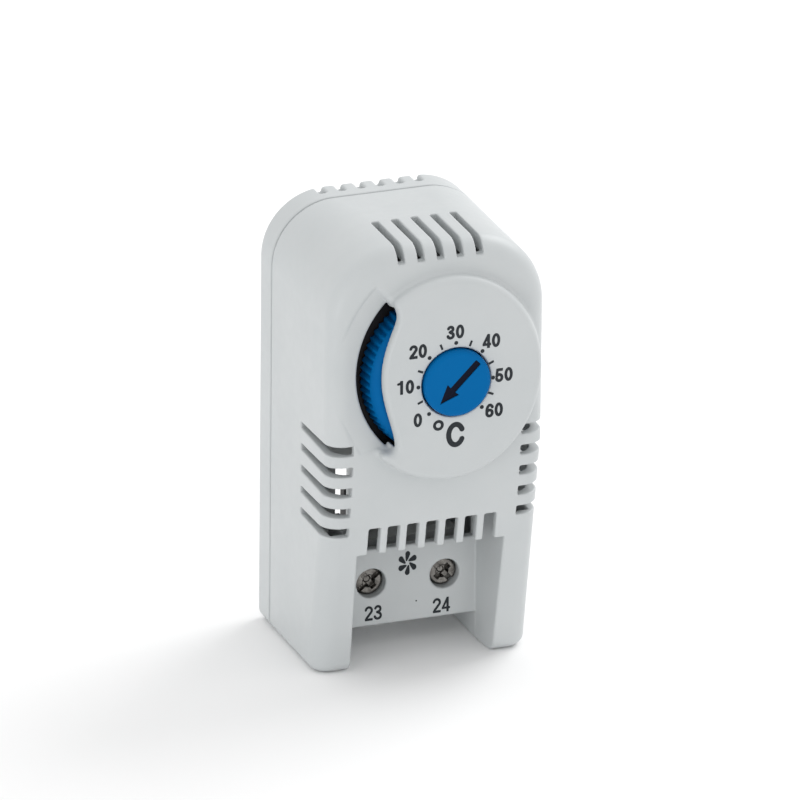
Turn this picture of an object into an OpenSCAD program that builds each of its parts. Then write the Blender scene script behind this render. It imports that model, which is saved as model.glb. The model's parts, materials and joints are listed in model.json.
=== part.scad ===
// Small enclosure thermostat with a snap contact: slim housing for a 35 mm rail,
// setpoint thumbwheel with a pointer knob, two screw terminals behind a recess.
// Millimetres, +Z up, front towards -Y, origin at the bottom centre of the box.

/* [Housing] */
// Width across the two side faces
body_w = 33; // [32.8:0.1:33.4]
// Height from the feet to the roof
body_h = 67.2; // [67:0.1:67.6]
// Depth from the front face to the rear face, without the rail hooks
body_d = 30; // [29.9:0.1:30.2]
// Height of the roof at its rear edge
rear_h = 66.1; // [66:0.1:66.3]
// Depth at which the roof starts to fall towards the rear
crease_y = 11.6; // [11.5:0.1:12]
// Depth of the front shell, up to the parting line
shell_d = 24.9; // [24.8:0.1:25]
// Radius of the two roof corners seen from the front
corner_r = 11.2; // [11:0.1:11.4]
// Radius of the rounded front edges
edge_r = 2.9; // [2.5:0.1:3]
// Wall thickness
wall = 1.4; // [1.3:0.05:1.5]
// Height at which the front face starts to lean back
kink_z = 34.4; // [34:0.1:34.6]
// Lean of the lower front face in degrees
lean = 10.15; // [9.8:0.05:10.4]

/* [Dial] */
// Sideways place of the dial axis
dial_x = 1.85; // [1.75:0.05:1.95]
// Height of the dial axis
dial_z = 46.55; // [46.4:0.05:46.7]
// Sideways place of the middle of the boss
boss_x = 1.2; // [1.1:0.05:1.3]
// Height of the middle of the boss
boss_z = 47; // [46.8:0.1:47.2]
// Radius of the raised dial boss
boss_r = 15.3; // [15.1:0.1:15.4]
// How far the boss stands proud of the front face
boss_h = 2; // [1.9:0.05:2.1]
// Radius of the thumbwheel over its ridges
wheel_r = 12.6; // [12.5:0.05:12.7]
// Number of ridges round the thumbwheel
ridges = 68; // [60:2:72]
// Radius of the pointer knob
knob_r = 5.05; // [5:0.05:5.1]
// How far the knob face stands in front of the front face
knob_out = 2.9; // [2.8:0.05:3]

/* [Terminals] */
// Sideways distance of each terminal from the middle
term_x = 5.67; // [5.6:0.01:5.75]
// Height of the terminal screws
term_z = 10.85; // [10.7:0.05:11]
// Depth of the recess face behind the front face
recess_y = 11.85; // [11.7:0.05:12]
// Half width of the recess at its face
recess_x = 10.43; // [10.3:0.01:10.5]
// Underside of the lintel over the recess
lintel_z = 19.45; // [19.3:0.05:19.6]
// Radius of the screw access holes
access_r = 2.25; // [2.2:0.01:2.3]
// Radius of the wire entries
wire_r = 2.1; // [2:0.05:2.15]

/* [Vents] */
// Pitch of the slots over the recess
comb_pitch = 2.953; // [2.9:0.001:3]
// Width of the slots over the recess
comb_w = 1.85; // [1.7:0.05:1.95]
// Pitch of the side slots
side_pitch = 3.313; // [3.3:0.001:3.33]
// Pitch of the roof slots
roof_pitch = 2.975; // [2.9:0.005:3]
// Width of the roof slots
roof_w = 1.12; // [1.1:0.01:1.2]

/* [Rail] */
// Height of the middle of the rail
rail_z = 33.6; // [33.5:0.1:33.7]
// Width of the rail
rail_w = 35; // [35:0.1:35.1]

/* [Hidden] */

$fn = 64;
hook_y = body_d + 3.6;                 // rearmost point of the rail hooks
y_mid = (hook_y - knob_out) / 2;       // depth of the middle of the whole box
hw = body_w / 2;
cavity_top = rear_h - 1.5;             // ceiling of the room inside
post_a = [-9.5, 57.5];                 // carrier posts, x and z
post_b = [10.2, 31];
window_x = [2.9, 5.1];                 // rear vents, both sides
leaf_y = 11;                           // front face of the contact leaf
bim_y = 13.5;                          // front face of the bimetal strip
root_z = 31;                           // where both strips leave their roots
pin_z = 31.5;                          // height of their root pins
arrow_a = -135;                        // the pointer shows 0

// depth is counted from the front face; this moves it to the frame's middle
module place() translate([0, -y_mid, 0]) children();
// an x-z outline as a solid from depth a to depth b
module at_y(a, b) translate([0, b, 0]) rotate([90, 0, 0]) linear_extrude(height = b - a) children();
// a y-z outline as a solid from x = a to x = b
module at_x(a, b) translate([a, 0, 0]) rotate([90, 0, 90]) linear_extrude(height = b - a) children();
// a round bar along y
module ycyl(x, z, r, a, b) translate([x, b, z]) rotate([90, 0, 0]) cylinder(r = r, h = b - a);
// a round bar along x
module xcyl(y, z, r, a, b) translate([a, y, z]) rotate([0, 90, 0]) cylinder(r = r, h = b - a);
// a block between two corners
module blk(a, b) translate(a) cube([b[0] - a[0], b[1] - a[1], b[2] - a[2]]);

// front outline with round roof corners, inset by i, from height z0 to height top
module outline(i = 0, z0 = 0, top = body_h) intersection() {
  union() {
    w = hw - i; r = corner_r - i; c = hw - corner_r;
    translate([-w, z0]) square([2 * w, body_h - corner_r - z0]);
    translate([-c, z0]) square([2 * c, body_h - i - z0]);
    for (s = [-1, 1]) translate([s * c, body_h - corner_r]) circle(r = r);
  }
  translate([-hw - 1, z0 - 1]) square([body_w + 2, top - z0 + 1]);
}

// plan with rounded front corners
module plan(r, d) {
  translate([-hw, r]) square([body_w, d - r]);
  translate([-hw + r, 0]) square([body_w - 2 * r, d]);
  for (s = [-1, 1]) translate([s * (hw - r), r]) circle(r = r);
}

// plan of the room inside the walls, with rounded front corners
module inner_plan(d) translate([0, wall]) {
  translate([-hw + wall, 2.4]) square([body_w - 2 * wall, d - 2.4]);
  translate([-hw + wall + 2.4, 0]) square([body_w - 2 * wall - 4.8, d]);
  for (s = [-1, 1]) translate([s * (hw - wall - 2.4), 2.4]) circle(r = 2.4);
}

// everything behind the leaning front face, moved back by t
module behind_lean(t) translate([0, 0, kink_z]) rotate([lean, 0, 0]) translate([-40, t, -60]) cube([80, 60, 120]);

module envelope() intersection() {
  at_y(0, shell_d) outline();
  translate([0, 0, -1]) linear_extrude(height = body_h + 2) plan(edge_r, shell_d + 1);
  translate([0, 0, kink_z]) rotate([lean, 0, 0]) translate([0, 0, -50]) linear_extrude(height = 100) plan(edge_r, 60);
  at_x(-hw - 1, hw + 1) union() {
    translate([0, -1]) square([shell_d + 1, body_h + 1 - edge_r - 2]);
    translate([0, 60]) square([edge_r, body_h - edge_r - 60]);
    polygon([[edge_r, -1], [edge_r, body_h], [crease_y, body_h], [shell_d, rear_h], [shell_d + 1, rear_h], [shell_d + 1, -1]]);
    translate([edge_r, body_h - edge_r]) circle(r = edge_r);
  }
}

module side_slots() for (s = [-1, 1], i = [0:4]) {
  zc = 36.9 - i * side_pitch;
  mirror([s < 0 ? 1 : 0, 0, 0]) at_x(hw - 3.69, hw + 1)
    polygon([[-1, zc - 0.77], [12.34, zc - 0.49], [12.34, zc + 0.49], [-1, zc + 0.77]]);
}

// outline of the crescent opening in which the thumbwheel shows
module wheel_window() difference() {
  intersection() {
    translate([-14.5, 35.7]) square([7.35, 24.1]);
    translate([3.4, 47.95]) circle(r = 15.7);
  }
  translate([1.78, 48.19]) circle(r = 11.1);
}

module housing_front() color([0.82, 0.83, 0.83]) place() difference() {
  union() {
    envelope();
    // raised dial boss with a rounded rim, cut flush with the right side face
    difference() {
      translate([boss_x, 0, boss_z]) rotate([90, 0, 0]) rotate_extrude($fn = 96) {
        translate([0, -1]) square([boss_r - 0.9, boss_h + 1]);
        translate([0, -1]) square([boss_r, boss_h + 0.1]);
        translate([boss_r - 0.9, boss_h - 0.9]) circle(r = 0.9, $fn = 32);
      }
      blk([15.2, -boss_h - 1, 20], [hw + 3, 2, body_h]);
      // cut back to the left of the crescent opening
      at_y(-boss_h - 1, 2) difference() {
        translate([-18.5, 36.9]) square([11.4, 23.6]);
        translate([1.78, 48.19]) circle(r = 11.14);
      }
    }
  }
  // main chamber above the recess
  intersection() {
    at_y(wall - 1, shell_d + 1) outline(wall, 22, cavity_top);
    translate([0, 0, 20]) linear_extrude(height = 50) inner_plan(shell_d + 2);
    translate([0, 0, kink_z]) rotate([lean, 0, 0]) translate([0, 0, -50]) linear_extrude(height = 100) inner_plan(60);
  }
  // main chamber behind the recess; the sockets of the screw heads stay
  difference() {
    at_y(recess_y + wall, shell_d + 1) outline(wall, 4.2 + wall, cavity_top);
    for (s = [-1, 1]) ycyl(s * term_x, term_z, 3.4, 11, 15.25);
  }
  // opening over the recess wall, behind the slots
  blk([-10.1, recess_y - 0.6, 16.2], [10.1, recess_y + wall + 1, 22.6]);
  // chamber under the dial boss, and the round opening for the wheel
  ycyl(dial_x, dial_z, wheel_r + 0.3, -boss_h + wall, wall + 1);
  // crescent opening
  at_y(-boss_h - 1.5, wall + 1) wheel_window();
  // undercut beside it, under the boss
  intersection() {
    translate([1.1, 0, 0]) at_y(-boss_h + wall + 0.03, wall + 0.97) wheel_window();
    ycyl(boss_x, boss_z, 14.9, -boss_h, wall + 2);
  }
  // bearing for the knob, wider at the front
  ycyl(dial_x, dial_z, knob_r + 0.1, -boss_h - 1, 0);
  ycyl(dial_x, dial_z, knob_r + 0.35, -boss_h - 1, -boss_h + 0.7);
  // recess between the two legs, wider at its mouth
  difference() {
    translate([0, 0, -1]) linear_extrude(height = 23.1)
      polygon([[-recess_x, recess_y], [-recess_x - 1.17, -1], [recess_x + 1.17, -1], [recess_x, recess_y]]);
    // the front wall over the recess stays
    difference() {
      blk([-20, -2, lintel_z], [20, 14, 24]);
      behind_lean(wall);
    }
  }
  // hollow legs
  for (s = [-1, 1]) mirror([s < 0 ? 1 : 0, 0, 0]) intersection() {
    translate([0, 0, wall]) linear_extrude(height = 23)
      polygon([[recess_x + wall, shell_d + 1], [recess_x + wall, recess_y], [recess_x + wall + 1.2, -0.3],
        [hw - wall, -0.3], [hw - wall, shell_d + 1]]);
    behind_lean(wall);
  }
  // way between the legs
  blk([-recess_x, -1, -1], [recess_x, shell_d + 1, 4.2]);
  // screw access, head seat and shank hole
  for (s = [-1, 1]) {
    ycyl(s * term_x, term_z, access_r, recess_y - 1, 14.25);
    ycyl(s * term_x, term_z, 1.75, 14, 16);
    translate([s * term_x, 22.3, 4]) cylinder(r = wire_r, h = 2);
  }
  // vents
  side_slots();
  for (i = [-3:3]) translate([i * comb_pitch - comb_w / 2, -1, lintel_z - 1]) cube([comb_w, 6, 23.76 - lintel_z + 1]);
  for (i = [-2:2]) translate([i * roof_pitch + 0.1 - roof_w / 2, 0, 0]) {
    translate([0, -1, 64.78]) cube([roof_w, 12.44, 4]);
    translate([0.01, wall + 0.2, 63]) cube([roof_w - 0.02, 9.6, 4]);
  }
  // catches for the clips of the rear shell
  for (s = [-1, 1], z = [9, 46]) mirror([s < 0 ? 1 : 0, 0, 0]) blk([hw - wall - 0.05, 21, z - 0.2], [hw - wall + 0.6, 22.5, z + 5.2]);
}

module housing_rear() color([0.82, 0.83, 0.83]) place() {
  difference() {
    union() {
      difference() {
        at_y(shell_d, body_d) outline(0, 0, rear_h);
        at_y(shell_d - 1, body_d - 1.6) outline(wall, 4.2 + wall, cavity_top);
        for (s = [-1, 1]) mirror([s < 0 ? 1 : 0, 0, 0]) blk([recess_x + wall, shell_d - 1, wall], [hw - wall, body_d - 1.6, 8]);
        blk([-recess_x, shell_d - 1, -1], [recess_x, body_d + 1, 4.2]);
      }
      // pad that guides the latch
      blk([-3, 26, 4.2], [3, body_d - 1.6, 36.2]);
      // posts for the contact carrier
      for (p = [post_a, post_b]) ycyl(p[0], p[1], 2.3, 20, body_d - 1.5);
    }
    // post bores
    for (p = [post_a, post_b]) ycyl(p[0], p[1], 1.25, 19, 26.5);
    // T-shaped way for the latch
    blk([-2.15, 27.3, 3], [2.15, 28.9, 35.2]);
    blk([-1.45, 28.8, 3], [1.45, body_d + 1, 30]);
    // rear vents
    for (s = [0, 1]) mirror([s, 0, 0]) blk([window_x[0], body_d - 2, 12.8], [window_x[1], body_d + 1, 24.6]);
    for (i = [-3:3]) translate([i * 3.2 - 0.8, body_d - 3, 56.5]) cube([1.6, 4, 6]);
    // roof notches
    for (i = [-2.5:1:2.5]) translate([i * 2.95 - 0.9, 27.2, 0]) {
      translate([0, 0, 65.2]) cube([1, 6, 3]);
      translate([0.01, 0.1, 63]) cube([0.98, 0.9, 3]);
    }
  }
  // fixed rail hooks
  for (s = [-1, 1]) {
    blk([s * 8 - 3.5, body_d, rail_z + rail_w / 2 + 0.2], [s * 8 + 3.5, hook_y, rail_z + rail_w / 2 + 3.4]);
    blk([s * 8 - 3.5, body_d + 1.4, rail_z + rail_w / 2 - 2], [s * 8 + 3.5, hook_y, rail_z + rail_w / 2 + 0.3]);
  }
  // stub that holds the top of the latch spring
  blk([-0.5, 27.9, 33.9], [0.5, 28.3, 35.3]);
  // snap clips
  for (s = [-1, 1], z = [9, 46]) mirror([s < 0 ? 1 : 0, 0, 0]) {
    blk([hw - wall - 1.2, 20.6, z], [hw - wall - 0.1, body_d - 1.5, z + 5]);
    blk([hw - wall - 0.2, 21.2, z], [hw - wall + 0.35, 22.2, z + 5]);
  }
}

function star(n, a, b) = [for (i = [0:2 * n - 1]) let (t = i * 180 / n, r = i % 2 == 0 ? a : b) [r * cos(t), r * sin(t)]];

module arrow2d() rotate(-arrow_a)
  polygon([[0, 3.75], [1.2, 1.15], [0.4, 1.25], [0.4, -4.15], [-0.4, -4.15], [-0.4, 1.25], [-1.2, 1.15]]);

module wheel_rim(r) difference() {
  polygon(star(ridges, r, r - 0.55));
  circle(r = 10.4);
}

module setpoint_wheel() color([0, 0.39, 0.69]) place() difference() {
  union() {
    // smooth bevel, then a rim with ridges along the axis, a little wider to the rear
    translate([dial_x, 0, dial_z]) {
      at_y(3, 4) wheel_rim(wheel_r);
      at_y(2, 3) wheel_rim(wheel_r - 0.13);
      at_y(1, 2) wheel_rim(wheel_r - 0.26);
      rotate([90, 0, 0]) rotate_extrude($fn = 96)
        polygon([[10.3, -1.3], [11.6, -1.3], [11.6, -0.6], [11.05, 0.05], [10.75, 0.3], [10.3, 0.3]]);
    }
    ycyl(dial_x, dial_z, 11, 0.2, 1.6);
    translate([dial_x, 0, dial_z]) rotate([90, 0, 0]) rotate_extrude($fn = 96)
      polygon([[0, -0.4], [knob_r, -0.4], [knob_r, knob_out - 0.35], [knob_r - 0.1, knob_out - 0.1], [knob_r - 0.35, knob_out], [0, knob_out]]);
    ycyl(dial_x, dial_z, 4, 1.5, 7);
  }
  ycyl(dial_x, dial_z, 2, 4.5, 8);
  translate([dial_x, 0, dial_z]) at_y(-knob_out - 1, -knob_out + 0.25) arrow2d();
}

module pointer_arrow() color([0.03, 0.04, 0.12]) place()
  translate([dial_x, 0, dial_z]) at_y(-knob_out, -knob_out + 0.25) arrow2d();

module guide_ring() color([0.06, 0.06, 0.07]) place() intersection() {
  translate([dial_x, 0, dial_z]) rotate([-90, 0, 0]) rotate_extrude($fn = 96) union() {
    translate([11.4, 4.25]) square([5.2, 0.8]);
  }
  blk([-14.9, 0, 35.2], [1.5, 6, 62.5]);
}

module adjusting_spindle() color([0.75, 0.6, 0.3]) place() ycyl(dial_x, dial_z, 2, 4.5, 9.2);

module cam_follower() color([0.93, 0.93, 0.9]) place() difference() {
  ycyl(dial_x, dial_z, 3.2, 7.6, 10.9);
  ycyl(dial_x, dial_z, 2.05, 7, 9.8);
}

module contact_carrier() color([0.08, 0.08, 0.09]) place() difference() {
  union() {
    blk([-12.5, 18, 27.5], [12.5, 20, 62]);
    blk([-3.5, 9.4, 27.5], [6.5, 18.2, 33]);
    blk([-2, 11.2, 60.2], [5, 18.2, 62]);
    for (x = [-8, 9.4]) blk([x, 8.2, 44.3], [x + 1.6, 18.2, 49.3]);
    blk([-8, 8.2, 43.3], [11, 9.9, 50.3]);
  }
  ycyl(dial_x, dial_z, 3.3, 8, 10);
  for (p = [post_a, post_b]) ycyl(p[0], p[1], 1.35, 17, 21);
  ycyl(dial_x, 40, 1, 17, 21);
  blk([-0.7, leaf_y - 0.35, 27], [3.7, leaf_y + 0.95, 34]);
  blk([-0.7, bim_y - 0.25, 27], [3.7, bim_y + 0.95, 34]);
  // bores for the root pins of both strips
  for (y = [leaf_y + 0.15, bim_y + 0.3]) xcyl(y, pin_z, 0.4, -1.25, 4.25);
  // air windows beside the strips
  for (x = [-7.5, 6.5]) blk([x, 17, 51.5], [x + 2.4, 21, 59]);
  blk([-10.5, 17, 36], [-8.9, 21, 50]);
}

module carrier_screws() color([0.75, 0.75, 0.77]) place() for (p = [post_a, post_b]) difference() {
  union() {
    ycyl(p[0], p[1], 2.2, 16.5, 18);
    ycyl(p[0], p[1], 1.2, 17.9, 25.5);
  }
  translate([p[0], 0, p[1]]) for (a = [45, -45]) rotate([0, a, 0]) blk([-1.4, 16, -0.3], [1.4, 17.2, 0.3]);
}

module bimetal_strip() color([0.78, 0.74, 0.66]) place() difference() {
  union() {
    blk([-0.5, bim_y, root_z], [3.5, bim_y + 0.6, 59.6]);
    xcyl(bim_y + 0.3, pin_z, 0.35, -1.1, 4.1);
  }
  ycyl(dial_x, 54, 0.7, bim_y - 1, bim_y + 1);
}

module moving_contact() color([0.88, 0.88, 0.86]) place() {
  ycyl(dial_x, 54, 1.2, 12.45, bim_y);
  ycyl(dial_x, 54, 0.7, bim_y - 0.1, bim_y + 0.6);
  ycyl(dial_x, 54, 1.1, bim_y + 0.6, bim_y + 0.95);
}

module contact_leaf() color([0.8, 0.62, 0.36]) place() difference() {
  union() {
    blk([-0.5, leaf_y, root_z], [3.5, leaf_y + 0.3, 56]);
    xcyl(leaf_y + 0.15, pin_z, 0.35, -1.1, 4.1);
  }
  ycyl(dial_x, 54, 0.7, leaf_y - 1, leaf_y + 1);
}

module fixed_contact() color([0.88, 0.88, 0.86]) place() {
  ycyl(dial_x, 54, 1.2, leaf_y + 0.3, 12.43);
  ycyl(dial_x, 54, 0.7, leaf_y, leaf_y + 0.35);
  ycyl(dial_x, 54, 1.1, leaf_y - 0.4, leaf_y);
}

module snap_magnet() color([0.22, 0.22, 0.24]) place() blk([-0.5, 11.6, 56.6], [3.5, 13.2, 60.2]);

module calibration_screw() color([0.75, 0.6, 0.3]) place() difference() {
  ycyl(dial_x, 40, 1, 14.4, 20.8);
  blk([dial_x - 2, 20.2, 39.8], [dial_x + 2, 21, 40.2]);
}

module terminal_block() color([0.12, 0.13, 0.13]) place() difference() {
  union() {
    blk([-9.4, 16.8, 14.6], [9.4, 25.4, 15.6]);
    blk([-2, 16.8, 5.7], [2, 25.4, 14.7]);
    for (s = [-1, 1]) mirror([s < 0 ? 1 : 0, 0, 0]) blk([8.85, 16.8, 5.7], [9.4, 25.4, 14.7]);
  }
  for (s = [-1, 1]) blk([s * term_x - 1.35, 19.3, 14], [s * term_x + 1.35, 20.3, 16]);
}

module terminal_screw(x) difference() {
  union() {
    ycyl(x, term_z, 2.1, 12.85, 14.15);
    ycyl(x, term_z, 1.5, 14.1, 19.3);
  }
  translate([x, 0, term_z]) rotate([0, x < 0 ? -38 : 48, 0]) {
    blk([-2.4, 12, -0.35], [2.4, 13.55, 0.35]);
    blk([-0.35, 12, -1.35], [0.35, 13.75, 1.35]);
  }
}
module terminal_screw_23() color([0.45, 0.43, 0.4]) place() terminal_screw(-term_x);
module terminal_screw_24() color([0.45, 0.43, 0.4]) place() terminal_screw(term_x);

module clamp_cage(x) difference() {
  blk([x - 2.9, 18.3, term_z - 3.45], [x + 2.9, 25.1, term_z + 3.45]);
  blk([x - 2.2, 19.1, term_z - 4], [x + 2.2, 24.3, term_z + 4]);
  ycyl(x, term_z, 1.55, 18, 20);
}
module clamp_cage_23() color([0.8, 0.78, 0.7]) place() clamp_cage(-term_x);
module clamp_cage_24() color([0.8, 0.78, 0.7]) place() clamp_cage(term_x);

module bus_bar_23() color([0.8, 0.66, 0.38]) place() {
  blk([-term_x - 1.3, 19.4, 7.5], [-term_x + 1.3, 20.2, 17]);
  blk([-term_x - 1.3, 19.4, 16.2], [-1.7, 20.2, 17]);
  blk([-3.5, 19.4, 16.2], [-1.7, 20.2, 26]);
  blk([-3.5, bim_y, 25.2], [3.5, 20.2, 26]);
  blk([-0.5, bim_y, 25.2], [3.5, bim_y + 0.8, root_z - 0.1]);
}

module bus_bar_24() color([0.8, 0.66, 0.38]) place() {
  blk([term_x - 1.3, 19.4, 7.5], [term_x + 1.3, 20.2, 24]);
  blk([-0.5, leaf_y, 23.2], [term_x + 1.3, 20.2, 24]);
  blk([-0.5, leaf_y, 23.2], [3.5, leaf_y + 0.8, root_z - 0.1]);
}

module rail_latch() color([0.1, 0.1, 0.11]) place() difference() {
  union() {
    blk([-2, 27.45, 3.4], [2, 28.75, 29]);
    blk([-1.3, 28.7, 3.4], [1.3, 29.9, 26.4]);
    blk([-2.6, 30.1, 12.4], [2.6, hook_y - 0.2, 15.9]);
    blk([-1.3, 29.8, 12.4], [1.3, 30.2, 15.9]);
    blk([-2.6, body_d + 1.4, 15.8], [2.6, hook_y - 0.2, 17.9]);
    blk([-0.5, 27.9, 28.9], [0.5, 28.3, 30.3]);
  }
  // screwdriver notch
  blk([-0.7, 27, 4.4], [0.7, 31, 5.9]);
}

// a tube of radius r swept along the points p, closed at both ends
function unit(v) = v / norm(v);
module sweep(p, r, n) {
  m = len(p);
  t = [for (i = [0:m - 1]) unit(p[min(i + 1, m - 1)] - p[max(i - 1, 0)])];
  pts = [for (i = [0:m - 1]) let (u = unit(cross(t[i], [0, 0, 1])), v = cross(u, t[i]))
    for (k = [0:n - 1]) p[i] + r * (cos(k * 360 / n) * u + sin(k * 360 / n) * v)];
  cap = [for (k = [1:n - 2]) [0, k, k + 1]];
  faces = concat([for (f = cap) [f[0], f[2], f[1]]],
    [for (i = [0:m - 2], k = [0:n - 1]) [i * n + k, i * n + (k + 1) % n, (i + 1) * n + k]],
    [for (i = [0:m - 2], k = [0:n - 1]) [i * n + (k + 1) % n, (i + 1) * n + (k + 1) % n, (i + 1) * n + k]],
    [for (f = cap) [(m - 1) * n + f[0], (m - 1) * n + f[1], (m - 1) * n + f[2]]]);
  polyhedron(points = pts, faces = faces);
}

module latch_spring() color([0.7, 0.7, 0.72]) place()
  sweep([for (i = [0:120]) [0.9 * cos(i * 36), 28.1 + 0.55 * sin(i * 36), 29.22 + i * 0.048]], 0.18, 6);

housing_front();
housing_rear();
setpoint_wheel();
pointer_arrow();
guide_ring();
adjusting_spindle();
cam_follower();
contact_carrier();
carrier_screws();
bimetal_strip();
moving_contact();
contact_leaf();
fixed_contact();
snap_magnet();
calibration_screw();
terminal_block();
terminal_screw_23();
terminal_screw_24();
clamp_cage_23();
clamp_cage_24();
bus_bar_23();
bus_bar_24();
rail_latch();
latch_spring();
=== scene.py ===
import json
import math

import bpy
import numpy as np
from mathutils import Matrix, Vector

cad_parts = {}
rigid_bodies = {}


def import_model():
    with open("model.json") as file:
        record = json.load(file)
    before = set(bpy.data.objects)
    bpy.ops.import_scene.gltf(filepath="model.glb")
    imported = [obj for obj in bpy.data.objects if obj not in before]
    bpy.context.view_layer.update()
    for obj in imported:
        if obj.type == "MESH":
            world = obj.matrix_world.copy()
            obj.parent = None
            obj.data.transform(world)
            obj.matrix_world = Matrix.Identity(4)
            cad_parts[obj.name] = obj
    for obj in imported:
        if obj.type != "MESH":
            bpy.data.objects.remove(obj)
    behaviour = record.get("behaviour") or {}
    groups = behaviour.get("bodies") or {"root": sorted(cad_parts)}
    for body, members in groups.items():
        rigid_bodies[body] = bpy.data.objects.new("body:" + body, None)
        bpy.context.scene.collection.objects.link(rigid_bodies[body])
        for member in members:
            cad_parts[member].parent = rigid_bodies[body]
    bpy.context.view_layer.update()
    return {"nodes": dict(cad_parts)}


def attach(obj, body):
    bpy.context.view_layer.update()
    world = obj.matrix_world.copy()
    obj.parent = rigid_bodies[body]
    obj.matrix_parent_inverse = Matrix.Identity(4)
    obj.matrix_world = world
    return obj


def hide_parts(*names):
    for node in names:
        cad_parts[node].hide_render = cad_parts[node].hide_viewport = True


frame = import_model()
YM = 15.35            # depth of the frame's origin behind the front face, mm
MM = 0.001

# ---------------------------------------------------------------- distances
# Everything below is in millimetres, x to the right, y depth behind the front
# face, z up from the feet. Negative means inside.


def rint(a, b, r):
    """Intersection whose edge is rounded to radius r."""
    return np.minimum(np.maximum(a, b), -r) + np.hypot(np.maximum(a + r, 0), np.maximum(b + r, 0))


def rdiff(a, b, r):
    return rint(a, -b, r)


def runion(a, b, r):
    """Union with a fillet of radius r in the corner."""
    return np.maximum(np.minimum(a, b), r) - np.hypot(np.maximum(r - a, 0), np.maximum(r - b, 0))


def box2(u, v, cu, cv, hu, hv, r=0.0):
    du = np.abs(u - cu) - (hu - r)
    dv = np.abs(v - cv) - (hv - r)
    return np.minimum(np.maximum(du, dv), 0) + np.hypot(np.maximum(du, 0), np.maximum(dv, 0)) - r


def box3(x, y, z, lo, hi, r=0.0):
    dx = np.abs(x - (lo[0] + hi[0]) / 2) - ((hi[0] - lo[0]) / 2 - r)
    dy = np.abs(y - (lo[1] + hi[1]) / 2) - ((hi[1] - lo[1]) / 2 - r)
    dz = np.abs(z - (lo[2] + hi[2]) / 2) - ((hi[2] - lo[2]) / 2 - r)
    m = np.minimum(np.maximum(np.maximum(dx, dy), dz), 0)
    return m + np.sqrt(np.maximum(dx, 0) ** 2 + np.maximum(dy, 0) ** 2 + np.maximum(dz, 0) ** 2) - r


def fold(v, pitch, n):
    """Distance to the nearest of the places -n..n times pitch."""
    return v - pitch * np.clip(np.round(v / pitch), -n, n)


HW, BH = 16.5, 67.2
WALL = 1.4
CEIL = 64.6          # ceiling of the room inside
KINK, LEAN = 34.4, math.radians(10.15)
DX, DZ = 1.85, 46.55      # dial axis
CX, CZ = 1.5, 46.5        # the crescent's own lines are laid out from here
BX, BZ = 1.2, 47.0
TX, TZ = 5.67, 10.85


def outline(x, y, z, i=0.0):
    """Front outline; the roof falls and its corners tighten towards the rear."""
    t = np.clip((y - 11.6) / 13.3, 0, 1)
    r = 11.2 - 1.8 * t - i
    qx = np.abs(x) - (HW - i - r)
    qz = z - (BH - 1.1 * t - i - r)
    return np.minimum(np.maximum(qx, qz), 0) + np.hypot(np.maximum(qx, 0), np.maximum(qz, 0)) - r


def front(y, z):
    c, t = math.cos(LEAN), math.tan(LEAN)
    lower = -(y - (KINK - z) * t) * c
    return rint(-y + 0 * z, lower, 1.5)


def window(x, z, low=-9.6, r=0.8):
    """The part of the boss left of its S-shaped edge."""
    xr, zr = x - CX, z - CZ
    k = np.clip((zr - 2.0) / 8.0, -1, 1)
    edge = xr + 8.64 - np.where(k > 0, 0.5, 0.21) * k
    w = rint(11.12 - np.hypot(xr - 0.28, zr - 1.69), edge, 3.0)
    # the upper end is cut across and rounded
    w = rint(w, 0.66 * xr + 0.75 * zr - 3.35, 1.8)
    return rint(w, low - zr, r)


def crescent(x, z):
    """The opening in which the thumbwheel shows."""
    return rint(window(x, z, -10.65, 2.0), np.hypot(x - CX - 1.9, z - CZ - 1.45) - 15.68, 0.25)


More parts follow.
